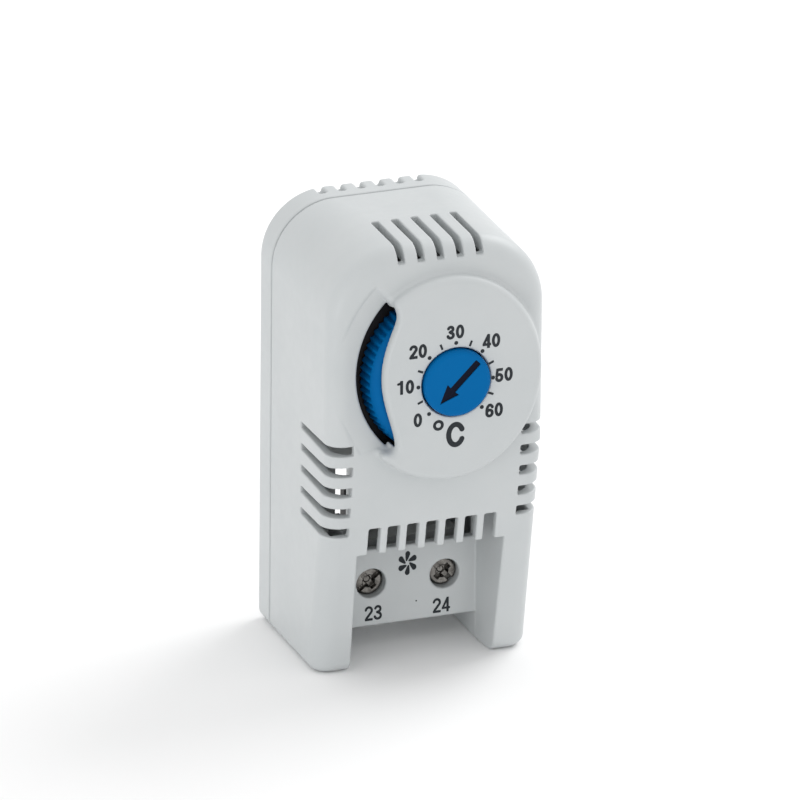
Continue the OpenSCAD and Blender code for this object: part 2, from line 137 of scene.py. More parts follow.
def housing_front(x, y, z):
    fr = front(y, z)
    ol = outline(x, y, z)
    env = rint(ol, fr, 2.9)
    env = rint(env, -z, 1.7)
    env = rint(env, y - 24.74, 0.2)
    w2 = window(x, z)
    op = crescent(x, z)
    # raised boss with a rounded rim
    sx = np.where(x > BX, 14.0, 14.8)
    k0 = np.hypot((x - BX) / sx, (z - BZ) / 15.6)
    k1 = np.hypot((x - BX) / sx ** 2, (z - BZ) / 15.6 ** 2)
    rim = np.where(k0 > 0.3, k0 * (k0 - 1) / np.maximum(k1, 1e-4), -9.0)
    boss = rint(rim, -2.0 - y, 1.15)
    boss = np.maximum(boss, y - 1.0)
    boss = rdiff(boss, w2, 1.3)
    f = runion(env, boss, 0.6)
    # the face falls towards the crescent
    scoop = np.maximum((y - 0.36 * (2.3 - op)) * 0.94, w2 + 0.2)
    scoop = np.maximum(scoop, np.maximum(y - 1.3, op - 2.6))
    f = rdiff(f, scoop, 1.5)
    f = rdiff(f, np.maximum(op, y - 2.6), 0.35)
    r = np.hypot(x - DX, z - DZ)
    # cavities
    c1 = rint(outline(x, y, z, WALL), fr + WALL, 2.4)
    c1 = np.maximum(np.maximum(c1, 22.0 - z), z - CEIL)
    sock = np.minimum(np.hypot(x - TX, z - TZ), np.hypot(x + TX, z - TZ)) - 3.4
    c2 = np.maximum(np.maximum(outline(x, y, z, WALL), 5.6 - z), np.maximum(13.25 - y, z - CEIL))
    c2 = np.maximum(c2, -np.maximum(sock, y - 15.25))
    ax = np.abs(x)
    inner = 11.83 + np.maximum(11.85 - y, 0) * 0.0988
    c3 = np.maximum(np.maximum(ax - 15.1, inner - ax), np.maximum(WALL - z, z - 23.0))
    c3 = np.maximum(c3, fr + WALL)
    c4 = np.maximum(r - 12.9, np.abs(y - 0.9) - 1.5)
    under = np.maximum(crescent(x - 1.1, z), np.hypot(x - BX, z - BZ) - 14.9)
    c4 = np.minimum(c4, np.maximum(under, np.abs(y - 0.9) - 1.47))
    cav = np.minimum(np.minimum(c1, c2), c3)
    f = np.maximum(f, -cav)
    f = np.maximum(f, -box3(x, y, z, (-10.1, 11.25, 16.2), (10.1, 14.25, 22.6)))
    f = rdiff(f, c4, 0.22)
    # recess between the legs; the front wall over it stays
    rx = 10.43 + np.maximum(11.85 - y, 0) * 0.0911
    rec = np.maximum(rint(ax - rx, y - 11.85, 0.25), z - 22.1)
    rec = np.maximum(rec, np.minimum(z - 19.45, fr + WALL))
    f = rdiff(f, rec, 0.3)
    f = rdiff(f, np.maximum(ax - 10.43, z - 4.2), 0.3)
    # comb over the recess
    comb = box2(fold(x, 2.953, 3), z, 0.0, 20.7, 0.925, 3.06, 0.25)
    f = rdiff(f, np.maximum(comb, y - 6.5), 0.22)
    # side slots, running on round the front corners
    zz = z - (36.9 - 2 * 3.313)
    zf = np.abs(fold(zz, 3.313, 2))
    hh = 0.49 + np.maximum(12.34 - y, 0) * 0.0227
    side = rint(zf - hh, y - 12.34, 0.3)
    f = rdiff(f, rint(side, 12.81 - ax, 0.2), 0.2)
    # roof slots, open to the inside behind the front wall
    fx = fold(x - 0.1, 2.975, 2)
    top = rint(box2(fx, y, 0.0, 0.0, 0.56, 11.44, 0.3), 64.78 - z, 0.2)
    f = rdiff(f, top, 0.12)
    f = np.maximum(f, -np.maximum(box2(fx, y, 0.0, 6.4, 0.55, 4.8, 0.3), 63.0 - z))
    # knob bearing, screw access and wire entries
    f = np.maximum(f, -np.maximum(r - 5.15, y - 0.1))
    f = rdiff(f, np.maximum(r - 5.3, y + 1.4), 0.12)
    term = np.minimum(np.hypot(x - TX, z - TZ), np.hypot(x + TX, z - TZ))
    f = rdiff(f, np.maximum(term - 2.25, np.abs(y - 12.3) - 1.95), 0.2)
    f = np.maximum(f, -np.maximum(term - 1.75, np.abs(y - 15) - 1.3))
    wire = np.minimum(np.hypot(x - TX, y - 22.3), np.hypot(x + TX, y - 22.3)) - 2.1
    f = rdiff(f, np.maximum(wire, z - 6.5), 0.2)
    return f


def housing_rear(x, y, z):
    ol = outline(x, y, z)
    f = rint(ol, y - 30.0, 0.9)
    f = rint(f, -z, 1.7)
    f = rint(f, 25.06 - y, 0.2)
    ax = np.abs(x)
    cav = np.maximum(np.maximum(outline(x, y, z, WALL), 5.6 - z), np.maximum(y - 28.4, z - CEIL))
    legs = np.maximum(np.maximum(ax - 15.1, 11.83 - ax), np.maximum(np.maximum(WALL - z, z - 8.0), y - 28.4))
    f = np.maximum(f, -np.minimum(cav, legs))
    f = np.minimum(f, box3(x, y, z, (-3.0, 26.0, 4.2), (3.0, 28.8, 36.2), 0.3))
    f = rdiff(f, np.maximum(ax - 10.43, z - 4.2), 0.3)
    for px, pz in ((-9.5, 57.5), (10.2, 31.0)):
        rr = np.hypot(x - px, z - pz)
        f = np.minimum(f, np.maximum(np.maximum(rr - 2.3, 1.25 - rr), np.abs(y - 24.3) - 4.3))
    # T-shaped way of the latch
    f = np.maximum(f, -box3(x, y, z, (-2.15, 27.3, 2.0), (2.15, 28.9, 35.2), 0.1))
    f = rdiff(f, box3(x, y, z, (-1.45, 28.6, 2.0), (1.45, 32.0, 30.0), 0.1), 0.15)
    f = np.minimum(f, box3(x, y, z, (-0.5, 27.9, 33.9), (0.5, 28.3, 35.3)))
    # vents
    win = box2(ax, z, 4.0, 18.7, 1.1, 5.9, 0.3)
    f = rdiff(f, np.maximum(win, 27.95 - y), 0.12)
    gr = box2(fold(x, 3.2, 3), z, 0.0, 59.5, 0.8, 3.0, 0.4)
    f = rdiff(f, np.maximum(gr, 27.0 - y), 0.2)
    # notches in the rear edge of the roof
    xn = x + 0.4
    xn = xn - 2.95 * (np.clip(np.floor(xn / 2.95), -3, 2) + 0.5)
    f = rdiff(f, np.maximum(box2(xn, y, 0.0, 30.2, 0.5, 3.0, 0.2), 65.2 - z), 0.42)
    f = np.maximum(f, -np.maximum(box2(xn, y, 0.0, 27.75, 0.49, 0.45, 0.1), 63.0 - z))
    # rail hooks
    for s in (-1, 1):
        hk = np.minimum(box3(x, y, z, (s * 8 - 3.5, 29.5, 51.3), (s * 8 + 3.5, 33.6, 54.5), 0.35),
                        box3(x, y, z, (s * 8 - 3.5, 31.4, 49.1), (s * 8 + 3.5, 33.6, 52.5), 0.35))
        f = runion(f, hk, 0.3)
    # snap clips
    for z0 in (9.0, 46.0):
        f = np.minimum(f, box3(ax, y, z, (13.9, 20.6, z0), (15.0, 28.6, z0 + 5), 0.15))
        f = np.minimum(f, box3(ax, y, z, (14.9, 21.2, z0), (15.45, 22.2, z0 + 5), 0.15))
    return f


def arrow2(u, v):
    """Arrow outline; v runs from tail to tip."""
    shaft = box2(u, v, 0.0, -1.3, 0.5, 2.95, 0.12)
    au = np.abs(u)
    k = 1.2 / 2.75
    n = math.hypot(1.0, k)
    head = np.maximum((au - (3.9 - v) * k) / n, 1.13 + 0.08 * (1.2 - au) - v)
    return np.minimum(shaft, head)


def arrow_uv(x, z):
    xr, zr = x - DX, z - DZ
    a = math.radians(135.0)
    # tip direction: down to the left
    dx, dz = -math.sin(a), math.cos(a)
    v = xr * dx + zr * dz
    u = xr * dz - zr * dx
    return u, v


def knob(x, y, z):
    r = np.hypot(x - DX, z - DZ)
    f = rint(r - 5.05, -2.9 - y, 0.7)
    f = np.maximum(f, y - 0.4)
    u, v = arrow_uv(x, z)
    f = rdiff(f, np.maximum(arrow2(u, v) - 0.02, y + 2.62), 0.06)
    return f


def arrow_piece(x, y, z):
    u, v = arrow_uv(x, z)
    return rint(arrow2(u, v), np.abs(y + 2.70) - 0.07, 0.02)


def latch(x, y, z):
    f = box3(x, y, z, (-2.0, 27.45, 3.4), (2.0, 28.75, 29.0), 0.2)
    f = np.minimum(f, box3(x, y, z, (-1.3, 28.5, 3.4), (1.3, 29.9, 26.4), 0.15))
    f = np.minimum(f, box3(x, y, z, (-1.3, 29.5, 12.4), (1.3, 30.9, 15.9), 0.15))
    g = np.minimum(box3(x, y, z, (-2.6, 30.1, 12.4), (2.6, 33.4, 15.9), 0.35),
                   box3(x, y, z, (-2.6, 31.4, 14.8), (2.6, 33.4, 17.9), 0.35))
    f = runion(f, g, 0.2)
    f = np.minimum(f, box3(x, y, z, (-0.5, 27.9, 28.6), (0.5, 28.3, 30.3)))
    return rdiff(f, box3(x, y, z, (-0.7, 26.0, 4.4), (0.7, 31.0, 5.9), 0.2), 0.15)


def screw(cx, ang):
    ca, sa = math.cos(ang), math.sin(ang)

    def f(x, y, z):
        r = np.hypot(x - cx, z - TZ)
        h = rint(r - 2.1, 12.85 - y, 0.35)
        h = np.maximum(h, y - 14.15)
        s = np.maximum(r - 1.5, np.abs(y - 16.7) - 2.6)
        # thread
        th = 0.12 * np.abs(((y * 2.0 + np.arctan2(z - TZ, x - cx) / (2 * math.pi)) % 1.0) * 2 - 1)
        s = np.maximum(s, r - 1.5 + th) * 0.8
        g = np.minimum(h, s)
        u = (x - cx) * ca + (z - TZ) * sa
        v = -(x - cx) * sa + (z - TZ) * ca
        slot = np.maximum(np.abs(v) - 0.36, y - 13.6)
        depth = 13.75 - 0.45 * np.abs(u)
        cross = np.maximum(np.maximum(np.abs(u) - 0.42, np.abs(v) - 1.35), y - 13.75)
        cone = np.maximum(r - 1.0 + (y - 12.85) * 0.55, y - 13.9)
        return rdiff(g, np.minimum(np.minimum(slot, cross), cone), 0.08)
    return f


# ---------------------------------------------------------------- meshing

def surface_net(fun, lo, hi, h):
    n = [int(math.ceil((hi[i] - lo[i]) / h)) + 1 for i in range(3)]
    ax = [lo[i] + h * np.arange(n[i], dtype=np.float32) for i in range(3)]
    f = fun(ax[0][:, None, None].astype(np.float32), ax[1][None, :, None].astype(np.float32), ax[2][None, None, :].astype(np.float32))
    f = np.ascontiguousarray(np.broadcast_to(f, n), dtype=np.float32)
    ins = f < 0
    cnt = np.zeros([m - 1 for m in n], np.int8)
    for a in (0, 1):
        for b in (0, 1):
            for c in (0, 1):
                cnt += ins[a:n[0] - 1 + a, b:n[1] - 1 + b, c:n[2] - 1 + c]
    act = (cnt > 0) & (cnt < 8)
    ai = np.argwhere(act)
    idx = np.full(act.shape, -1, np.int32)
    idx[act] = np.arange(len(ai), dtype=np.int32)
    pos = np.zeros((len(ai), 3))
    w = np.zeros(len(ai))
    for d in range(3):
        o = [k for k in range(3) if k != d]
        for p in (0, 1):
            for q in (0, 1):
                a = np.zeros(3, int)
                a[o[0]], a[o[1]] = p, q
                b = a.copy()
                b[d] = 1
                fa = f[ai[:, 0] + a[0], ai[:, 1] + a[1], ai[:, 2] + a[2]]
                fb = f[ai[:, 0] + b[0], ai[:, 1] + b[1], ai[:, 2] + b[2]]
                m = (fa < 0) != (fb < 0)
                t = fa[m] / (fa[m] - fb[m])
                add = np.tile(a.astype(float), (int(m.sum()), 1))
                add[:, d] += t
                pos[m] += add
                w[m] += 1
    pos /= w[:, None]
    verts = np.array(lo) + (ai + pos) * h
    quads = []
    for d in range(3):
        o = [k for k in range(3) if k != d]
        sl0 = [slice(None)] * 3
        sl1 = [slice(None)] * 3
        sl0[d], sl1[d] = slice(0, n[d] - 1), slice(1, n[d])
        for k in o:
            sl0[k] = sl1[k] = slice(1, n[k] - 1)
        ch = ins[tuple(sl0)] != ins[tuple(sl1)]
        e = np.argwhere(ch)
        for k in o:
            e[:, k] += 1
        s = ins[e[:, 0], e[:, 1], e[:, 2]]

        def cell(da, db):
            c = e.copy()
            c[:, o[0]] += da
            c[:, o[1]] += db
            return idx[c[:, 0], c[:, 1], c[:, 2]]
        q = np.stack([cell(-1, -1), cell(0, -1), cell(0, 0), cell(-1, 0)], 1)
        flip = s if d != 1 else ~s
        q[~flip] = q[~flip][:, ::-1]
        quads.append(q)
    return verts, np.concatenate(quads)


def grad(fun, p, e):
    g = np.zeros_like(p)
    for d in range(3):
        a, b = p.copy(), p.copy()
        a[:, d] += e
        b[:, d] -= e
        g[:, d] = (fun(a[:, 0], a[:, 1], a[:, 2]) - fun(b[:, 0], b[:, 1], b[:, 2])) / (2 * e)
    return g


def sdf_piece(name, fun, lo, hi, h, keep, body, nodes, mat, soft=0.12):
    verts, quads = surface_net(fun, lo, hi, h)
    for _ in range(2):
        g = grad(fun, verts, 0.04)
        v = fun(verts[:, 0], verts[:, 1], verts[:, 2])
        step = -v[:, None] * g / np.maximum((g ** 2).sum(1), 0.2)[:, None]
        ln = np.linalg.norm(step, axis=1, keepdims=True)
        step *= np.minimum(1.0, 0.45 * h / np.maximum(ln, 1e-9))
        verts = verts + step
    me = bpy.data.meshes.new(name)
    world = verts.copy()
    world[:, 1] -= YM
    world *= MM
    me.vertices.add(len(world))
    me.vertices.foreach_set("co", world.astype(np.float32).ravel())
    me.loops.add(quads.size)
    me.loops.foreach_set("vertex_index", quads.astype(np.int32).ravel())
    me.polygons.add(len(quads))
    me.polygons.foreach_set("loop_start", np.arange(0, quads.size, 4, dtype=np.int32))
    me.update(calc_edges=True)
    me.validate()
    ob = bpy.data.objects.new(name, me)
    bpy.context.scene.collection.objects.link(ob)
    if keep < 1.0:
        md = ob.modifiers.new("thin", "DECIMATE")
        md.ratio = keep
        dg = bpy.context.evaluated_depsgraph_get()
        out = bpy.data.meshes.new_from_object(ob.evaluated_get(dg))
        ob.modifiers.clear()
        ob.data = out
        bpy.data.meshes.remove(me)
        me = out
        me.name = name
    co = np.empty(len(me.vertices) * 3, np.float32)
    me.vertices.foreach_get("co", co)
    p = co.reshape(-1, 3).astype(float) / MM
    p[:, 1] += YM
    nrm = grad(fun, p, soft)
    nrm /= np.maximum(np.linalg.norm(nrm, axis=1, keepdims=True), 1e-9)
    me.polygons.foreach_set("use_smooth", np.ones(len(me.polygons), bool))
    me.normals_split_custom_set_from_vertices(nrm.tolist())
    me.materials.clear()
    me.materials.append(mat)
    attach(ob, body)
    if nodes:
        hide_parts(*nodes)
    print("piece", name, len(me.polygons), "faces")
    return ob


def plain_piece(name, verts, faces, body, nodes, mat, smooth=True, sharp=35):
    me = bpy.data.meshes.new(name)
    me.from_pydata([(v[0] * MM, (v[1] - YM) * MM, v[2] * MM) for v in verts], [], faces)
    me.validate()
    me.update()
    me.materials.append(mat)
    ob = bpy.data.objects.new(name, me)
    bpy.context.scene.collection.objects.link(ob)
    if smooth:
        me.polygons.foreach_set("use_smooth", np.ones(len(me.polygons), bool))
        me.set_sharp_from_angle(angle=math.radians(sharp))
    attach(ob, body)
    if nodes:
        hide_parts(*nodes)
    return ob


# ---------------------------------------------------------------- materials

def new_mat(name):
    m = bpy.data.materials.new(name)
    m.use_nodes = True
    nt = m.node_tree
    for n in list(nt.nodes):
        nt.nodes.remove(n)
    out = nt.nodes.new("ShaderNodeOutputMaterial")
    b = nt.nodes.new("ShaderNodeBsdfPrincipled")
    nt.links.new(b.outputs[0], out.inputs[0])
    tc = nt.nodes.new("ShaderNodeTexCoord")
    return m, nt, b, tc.outputs["Object"]


def noise(nt, vec, scale, detail=4.0, rough=0.55):
    n = nt.nodes.new("ShaderNodeTexNoise")
    n.inputs["Scale"].default_value = scale
    n.inputs["Detail"].default_value = detail
    n.inputs["Roughness"].default_value = rough
    nt.links.new(vec, n.inputs["Vector"])
    return n.outputs["Fac"]


def ramp(nt, fac, stops):
    r = nt.nodes.new("ShaderNodeValToRGB")
    els = r.color_ramp.elements
    while len(els) < len(stops):
        els.new(0.5)
    for e, (p, c) in zip(els, stops):
        e.position = p
        e.color = (c[0], c[1], c[2], 1.0)
    nt.links.new(fac, r.inputs["Fac"])
    return r.outputs["Color"]


def bump(nt, b, height, strength, dist):
    n = nt.nodes.new("ShaderNodeBump")
    n.inputs["Strength"].default_value = strength
    n.inputs["Distance"].default_value = dist
    nt.links.new(height, n.inputs["Height"])
    nt.links.new(n.outputs["Normal"], b.inputs["Normal"])


def maprange(nt, fac, lo, hi):
    n = nt.nodes.new("ShaderNodeMapRange")
    n.inputs["From Min"].default_value = 0.3
    n.inputs["From Max"].default_value = 0.7
    n.inputs["To Min"].default_value = lo
    n.inputs["To Max"].default_value = hi
    nt.links.new(fac, n.inputs["Value"])
    return n.outputs["Result"]


def plastic(name, a, b2, rough, spec=0.5, grain=0.25, ior=1.5):
    m, nt, b, vec = new_mat(name)
    col = ramp(nt, noise(nt, vec, 90.0, 3.0), [(0.3, a), (0.7, b2)])
    nt.links.new(col, b.inputs["Base Color"])
    nt.links.new(maprange(nt, noise(nt, vec, 700.0, 5.0), rough - 0.05, rough + 0.06), b.inputs["Roughness"])
    b.inputs["IOR"].default_value = ior
    b.inputs["Specular IOR Level"].default_value = spec
    bump(nt, b, noise(nt, vec, 5200.0, 3.0), grain, 0.00004)
    return m


def metal(name, a, b2, rough, stretch=(1, 1, 1), grain=0.3):
    m, nt, b, vec = new_mat(name)
    mp = nt.nodes.new("ShaderNodeMapping")
    mp.inputs["Scale"].default_value = stretch
    nt.links.new(vec, mp.inputs["Vector"])
    v = mp.outputs["Vector"]
    nt.links.new(ramp(nt, noise(nt, v, 900.0, 4.0), [(0.3, a), (0.7, b2)]), b.inputs["Base Color"])
    nt.links.new(maprange(nt, noise(nt, v, 2500.0, 4.0), rough - 0.08, rough + 0.1), b.inputs["Roughness"])
    b.inputs["Metallic"].default_value = 1.0
    bump(nt, b, noise(nt, v, 6000.0, 3.0), grain, 0.00003)
    return m


GREY = plastic("case_grey", (0.520, 0.545, 0.552), (0.545, 0.567, 0.573), 0.42, 0.5, 0.12)
BLUE = plastic("wheel_blue", (0.0002, 0.118, 0.345), (0.0004, 0.130, 0.368), 0.45, 0.05, 0.10)
# Black moulded plastic for the latch. On the guide ring the same black is painted shade for the gap round the
# thumbwheel.
BLACK_AND_PAINTED_SHADE = plastic("black_moulded_and_painted_shade", (0.012, 0.011, 0.012), (0.022, 0.020, 0.021), 0.5, 0.25, 0.2)
INNER = plastic("inner_grey", (0.42, 0.44, 0.44), (0.47, 0.49, 0.49), 0.5, 0.4, 0.2)
NATURAL = plastic("natural_white", (0.74, 0.74, 0.69), (0.80, 0.80, 0.76), 0.35, 0.5, 0.1)
NAVY = plastic("arrow_navy", (0.001, 0.002, 0.010), (0.002, 0.004, 0.016), 0.6, 0.12, 0.3)
INK = plastic("print_ink", (0.020, 0.024, 0.028), (0.032, 0.037, 0.042), 0.6, 0.15, 0.3)
BRASS = metal("brass_stamped", (0.72, 0.50, 0.22), (0.82, 0.60, 0.30), 0.3, (1, 1, 0.12))
ZINC = metal("zinc_plated", (0.55, 0.55, 0.54), (0.70, 0.70, 0.69), 0.32, (1, 1, 0.2))
SCREW = metal("screw_dull", (0.090, 0.084, 0.078), (0.25, 0.24, 0.225), 0.22, (1, 1, 1), 0.5)
SILVER = metal("contact_silver", (0.80, 0.80, 0.78), (0.88, 0.88, 0.86), 0.2)
MAGNET = metal("magnet_dark", (0.10, 0.10, 0.11), (0.16, 0.16, 0.17), 0.5, (1, 1, 1), 0.8)
BIMETAL = metal("bimetal", (0.62, 0.58, 0.50), (0.72, 0.67, 0.58), 0.28, (0.2, 1, 1))

# The guide ring is made black as painted shade: it darkens the gap round the thumbwheel, which would otherwise show the
# lit grey inside.
for node, mat in {
        "guide_ring": BLACK_AND_PAINTED_SHADE, "adjusting_spindle": BRASS, "cam_follower": NATURAL,
        "contact_carrier": INNER, "carrier_screws": ZINC, "bimetal_strip": BIMETAL,
        "moving_contact": SILVER, "contact_leaf": BRASS, "fixed_contact": SILVER,
        "snap_magnet": MAGNET, "calibration_screw": BRASS, "terminal_block": INNER,
        "clamp_cage_23": ZINC, "clamp_cage_24": ZINC, "bus_bar_23": ZINC,
        "bus_bar_24": ZINC, "latch_spring": ZINC}.items():
    ob = frame["nodes"][node]
    for obj in ([ob] if ob.type == "MESH" else []) + [c for c in ob.children_recursive if c.type == "MESH"]:
        for s in obj.material_slots:
            s.material = mat
        if not obj.material_slots:
            obj.data.materials.append(mat)

# ---------------------------------------------------------------- shells

sdf_piece("case_front", housing_front, (-17.1, -2.7, -0.7), (17.1, 25.6, 67.9), 0.22, 0.30,
          "case", ["housing_front"], GREY)
sdf_piece("case_rear", housing_rear, (-17.1, 19.9, -0.7), (17.1, 34.3, 67.9), 0.26, 0.30,
          "case", ["housing_rear"], GREY)
sdf_piece("knob", knob, (DX - 5.5, -3.1, DZ - 5.5), (DX + 5.5, 0.7, DZ + 5.5), 0.085, 0.35,
          "setpoint", [], BLUE, 0.05)
sdf_piece("arrow_inlay", arrow_piece, (DX - 4.6, -2.9, DZ - 4.6), (DX + 4.6, -2.5, DZ + 4.6), 0.05, 0.4,
          "setpoint", ["pointer_arrow"], NAVY, 0.02)
sdf_piece("latch_slide", latch, (-5.1, 26.9, 2.8), (5.1, 33.9, 30.8), 0.14, 0.35,
          "latch", ["rail_latch"], BLACK_AND_PAINTED_SHADE, 0.06)
sdf_piece("screw_23", screw(-TX, math.radians(38)), (-TX - 2.5, 12.4, TZ - 2.5), (-TX + 2.5, 19.8, TZ + 2.5), 0.07, 0.3,
          "screw_23", ["terminal_screw_23"], SCREW, 0.04)
sdf_piece("screw_24", screw(TX, math.radians(-48)), (TX - 2.5, 12.4, TZ - 2.5), (TX + 2.5, 19.8, TZ + 2.5), 0.07, 0.3,
          "screw_24", ["terminal_screw_24"], SCREW, 0.04)

# ---------------------------------------------------------------- thumbwheel
# Lathe with ridges: (radius, depth, how much of the ridge shows there)
RIDGES, PER = 68, 8
PROFILE = [(4.9, 0.2, 0), (10.1, 0.2, 0), (10.3, 0.0, 0), (10.3, -0.15, 0), (10.45, -0.3, 0),
           (10.8, -0.3, 0), (11.1, -0.22, 0), (11.4, -0.02, 0), (11.7, 0.28, 0), (11.95, 0.6, 0), (12.12, 0.9, 0.0),
           (12.24, 1.05, 0.75), (12.34, 1.25, 1), (12.44, 2.0, 1), (12.52, 2.8, 1), (12.6, 3.6, 1), (12.6, 3.9, 1),
           (12.45, 4.0, 0.6), (11.9, 4.0, 0), (10.4, 4.0, 0), (10.4, 1.7, 0),
           (10.2, 1.6, 0), (4.0, 1.6, 0), (4.0, 6.8, 0), (3.8, 7.0, 0), (2.1, 7.0, 0), (2.0, 6.9, 0), (2.0, 4.5, 0), (2.0, 0.4, 0), (4.9, 0.4, 0)]
nth = RIDGES * PER
wv, wf = [], []
for k in range(nth):
    ph = 2 * math.pi * k / nth
    q = 0.5 - 0.5 * math.cos(ph * RIDGES)
    groove = 0.48 * (1 - q ** 0.75)
    for r, y, m in PROFILE:
        rr = r - m * groove
        wv.append((DX + rr * math.sin(ph), y, DZ + rr * math.cos(ph)))
np_ = len(PROFILE)
for k in range(nth):
    k2 = (k + 1) % nth
    for i in range(np_):
        j = (i + 1) % np_
        wf.append((k * np_ + i, k2 * np_ + i, k2 * np_ + j, k * np_ + j))
wheel = plain_piece("thumbwheel", wv, wf, "setpoint", ["setpoint_wheel"], BLUE, True, 50)

# ---------------------------------------------------------------- print

def flat_mesh(name, polys, y, thick, body, mat):
    """Thin raised patches: polys are lists of (x, z) rings."""
    verts, faces = [], []
    for ring in polys:
        n = len(ring)
        area = sum(ring[i][0] * ring[(i + 1) % n][1] - ring[(i + 1) % n][0] * ring[i][1] for i in range(n))
        if area < 0:
            ring = ring[::-1]
        b = len(verts)
        verts += [(p[0], y - thick, p[1]) for p in ring] + [(p[0], y, p[1]) for p in ring]
        faces.append(tuple(b + i for i in range(n)))
        faces.append(tuple(b + n + i for i in reversed(range(n))))
        faces += [(b + i, b + n + i, b + n + (i + 1) % n, b + (i + 1) % n) for i in range(n)]
    return plain_piece(name, verts, faces, body, [], mat, False)


def bar(u, v, a, b, half):
    """Straight stroke with square ends."""
    dx, dv = b[0] - a[0], b[1] - a[1]
    ln = math.hypot(dx, dv)
    s = ((u - a[0]) * dx + (v - a[1]) * dv) / ln - ln / 2
    t = ((v - a[1]) * dx - (u - a[0]) * dv) / ln
    return box2(s, t, 0.0, 0.0, ln / 2, half, 0.0)


def bend(u, v, pts, half):
    """Stroke along a line of points."""
    d = 1e3
    for a, b in zip(pts[:-1], pts[1:]):
        wx, wv = b[0] - a[0], b[1] - a[1]
        t = np.clip(((u - a[0]) * wx + (v - a[1]) * wv) / (wx * wx + wv * wv), 0, 1)
        d = np.minimum(d, np.hypot(u - a[0] - t * wx, v - a[1] - t * wv))
    return d - half


def oval(cx, cy, rx, ry, a0, a1, n=26):
    """Points on an ellipse, degrees clockwise from the top."""
    t = [math.radians(a0 + (a1 - a0) * i / n) for i in range(n + 1)]
    return [(cx + rx * math.sin(a), cy + ry * math.cos(a)) for a in t]


def glyph(ch, u, v, h):
    """Distance to one sign; the sign is 1 high and 0.6 wide, its strokes 2h thick."""
    if ch == "0":
        return bend(u, v, oval(0.3, 0.5, 0.3 - h, 0.5 - h, 0, 360, 36), h)
    if ch == "1":
        f = bar(u, v, (0.37, 0.0), (0.37, 1.0), h)
        return np.minimum(f, bend(u, v, [(0.13, 0.775), (0.22, 0.79), (0.30, 0.84), (0.35, 0.92)], h * 0.85))
    if ch == "2":
        f = bend(u, v, oval(0.30, 0.70, 0.3 - h, 0.3 - h, -80, 118) + [(0.30, 0.36), (0.17, 0.22), (0.10, h)], h)
        return np.minimum(f, bar(u, v, (0.02, h), (0.59, h), h))
    if ch == "3":
        f = bend(u, v, oval(0.29, 0.735, 0.27 - h, 0.265 - h, -72, 170) + [(0.24, 0.535)], h)
        return np.minimum(f, bend(u, v, [(0.26, 0.535)] + oval(0.29, 0.285, 0.3 - h, 0.285 - h, 14, 258), h))
    if ch == "4":
        f = np.minimum(bar(u, v, (0.42, 0.0), (0.42, 1.0), h), bar(u, v, (0.0, 0.27), (0.6, 0.27), h * 0.9))
        return np.minimum(f, bend(u, v, [(0.40, 0.93), (0.08, 0.29)], h * 0.9))
    if ch == "5":
        f = np.minimum(bar(u, v, (0.12, 1.0 - h), (0.55, 1.0 - h), h), bar(u, v, (0.17, 0.98), (0.11, 0.47), h * 0.9))
        return np.minimum(f, bend(u, v, oval(0.29, 0.325, 0.3 - h, 0.325 - h, -62, 252), h))
    if ch == "6":
        f = bend(u, v, oval(0.3, 0.32, 0.3 - h, 0.32 - h, 0, 360, 36), h)
        return np.minimum(f, bend(u, v, oval(0.325, 0.48, 0.325 - h, 0.52 - h, -95, 52), h))
    return bend(u, v, oval(0.385, 0.5, 0.375 - h, 0.5 - h, 62, -242, 40), h)


def slab_piece(name, fun, x0, x1, z0, z1, y, thick, h, keep=0.25):
    """Thin raised print: fun gives the distance in the plane."""
    k = 0.2 / thick

    def f(a, b, c):
        return np.maximum(fun(a, c), np.abs(b) - 0.1)
    verts, quads = surface_net(f, (x0, -0.1 - 1.6 * h, z0), (x1, 0.1 + 1.6 * h, z1), h)
    verts[:, 1] = y - thick / 2 + np.clip(verts[:, 1], -0.1, 0.1) / k
    me = bpy.data.meshes.new(name)
    me.from_pydata([(v[0] * MM, (v[1] - YM) * MM, v[2] * MM) for v in verts], [], [tuple(int(i) for i in q) for q in quads])
    me.validate()
    ob = bpy.data.objects.new(name, me)
    bpy.context.scene.collection.objects.link(ob)
    md = ob.modifiers.new("thin", "DECIMATE")
    md.ratio = keep
    out = bpy.data.meshes.new_from_object(ob.evaluated_get(bpy.context.evaluated_depsgraph_get()))
    ob.modifiers.clear()
    ob.data = out
    bpy.data.meshes.remove(me)
    out.name = name
    out.materials.clear()
    out.materials.append(INK)
    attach(ob, "case")
    return ob


def text_piece(name, s, x, z, y, high, half, sx=1.0, adv=0.66):
    """Signs s, centred on x and z, each high mm tall."""
    wide = 0.75 if s == "C" else 0.6
    total = adv * (len(s) - 1) + wide
    left, low = x - total * high * sx / 2, z - high / 2

    def f(a, c):
        u, v = (a - left) / (high * sx), (c - low) / high
        d = 1e3
        for i, ch in enumerate(s):
            d = np.minimum(d, glyph(ch, u - adv * i, v, half))
        return d * high * min(1.0, sx)
    m = 0.15
    return slab_piece(name, f, left - m, left + total * high * sx + m, low - m, low + high + m, y, 0.025,
                      0.045)


FACE = -2.0
for s, x, z in (("0", -3.99, 41.45), ("10", -5.96, 46.78), ("20", -4.05, 52.03), ("30", 1.6, 54.29),
                ("40", 7.12, 52.23), ("50", 9.10, 46.75), ("60", 7.66, 41.48)):
    text_piece("scale_" + s, s, x, z, FACE, 2.13, 0.103, 1.0)
text_piece("unit_c", "C", 1.78, 38.47, FACE, 3.9, 0.100, 1.0)


def ring_poly(x, z, r, n=28):
    return [(x + r * math.cos(2 * math.pi * i / n), z + r * math.sin(2 * math.pi * i / n)) for i in range(n)]


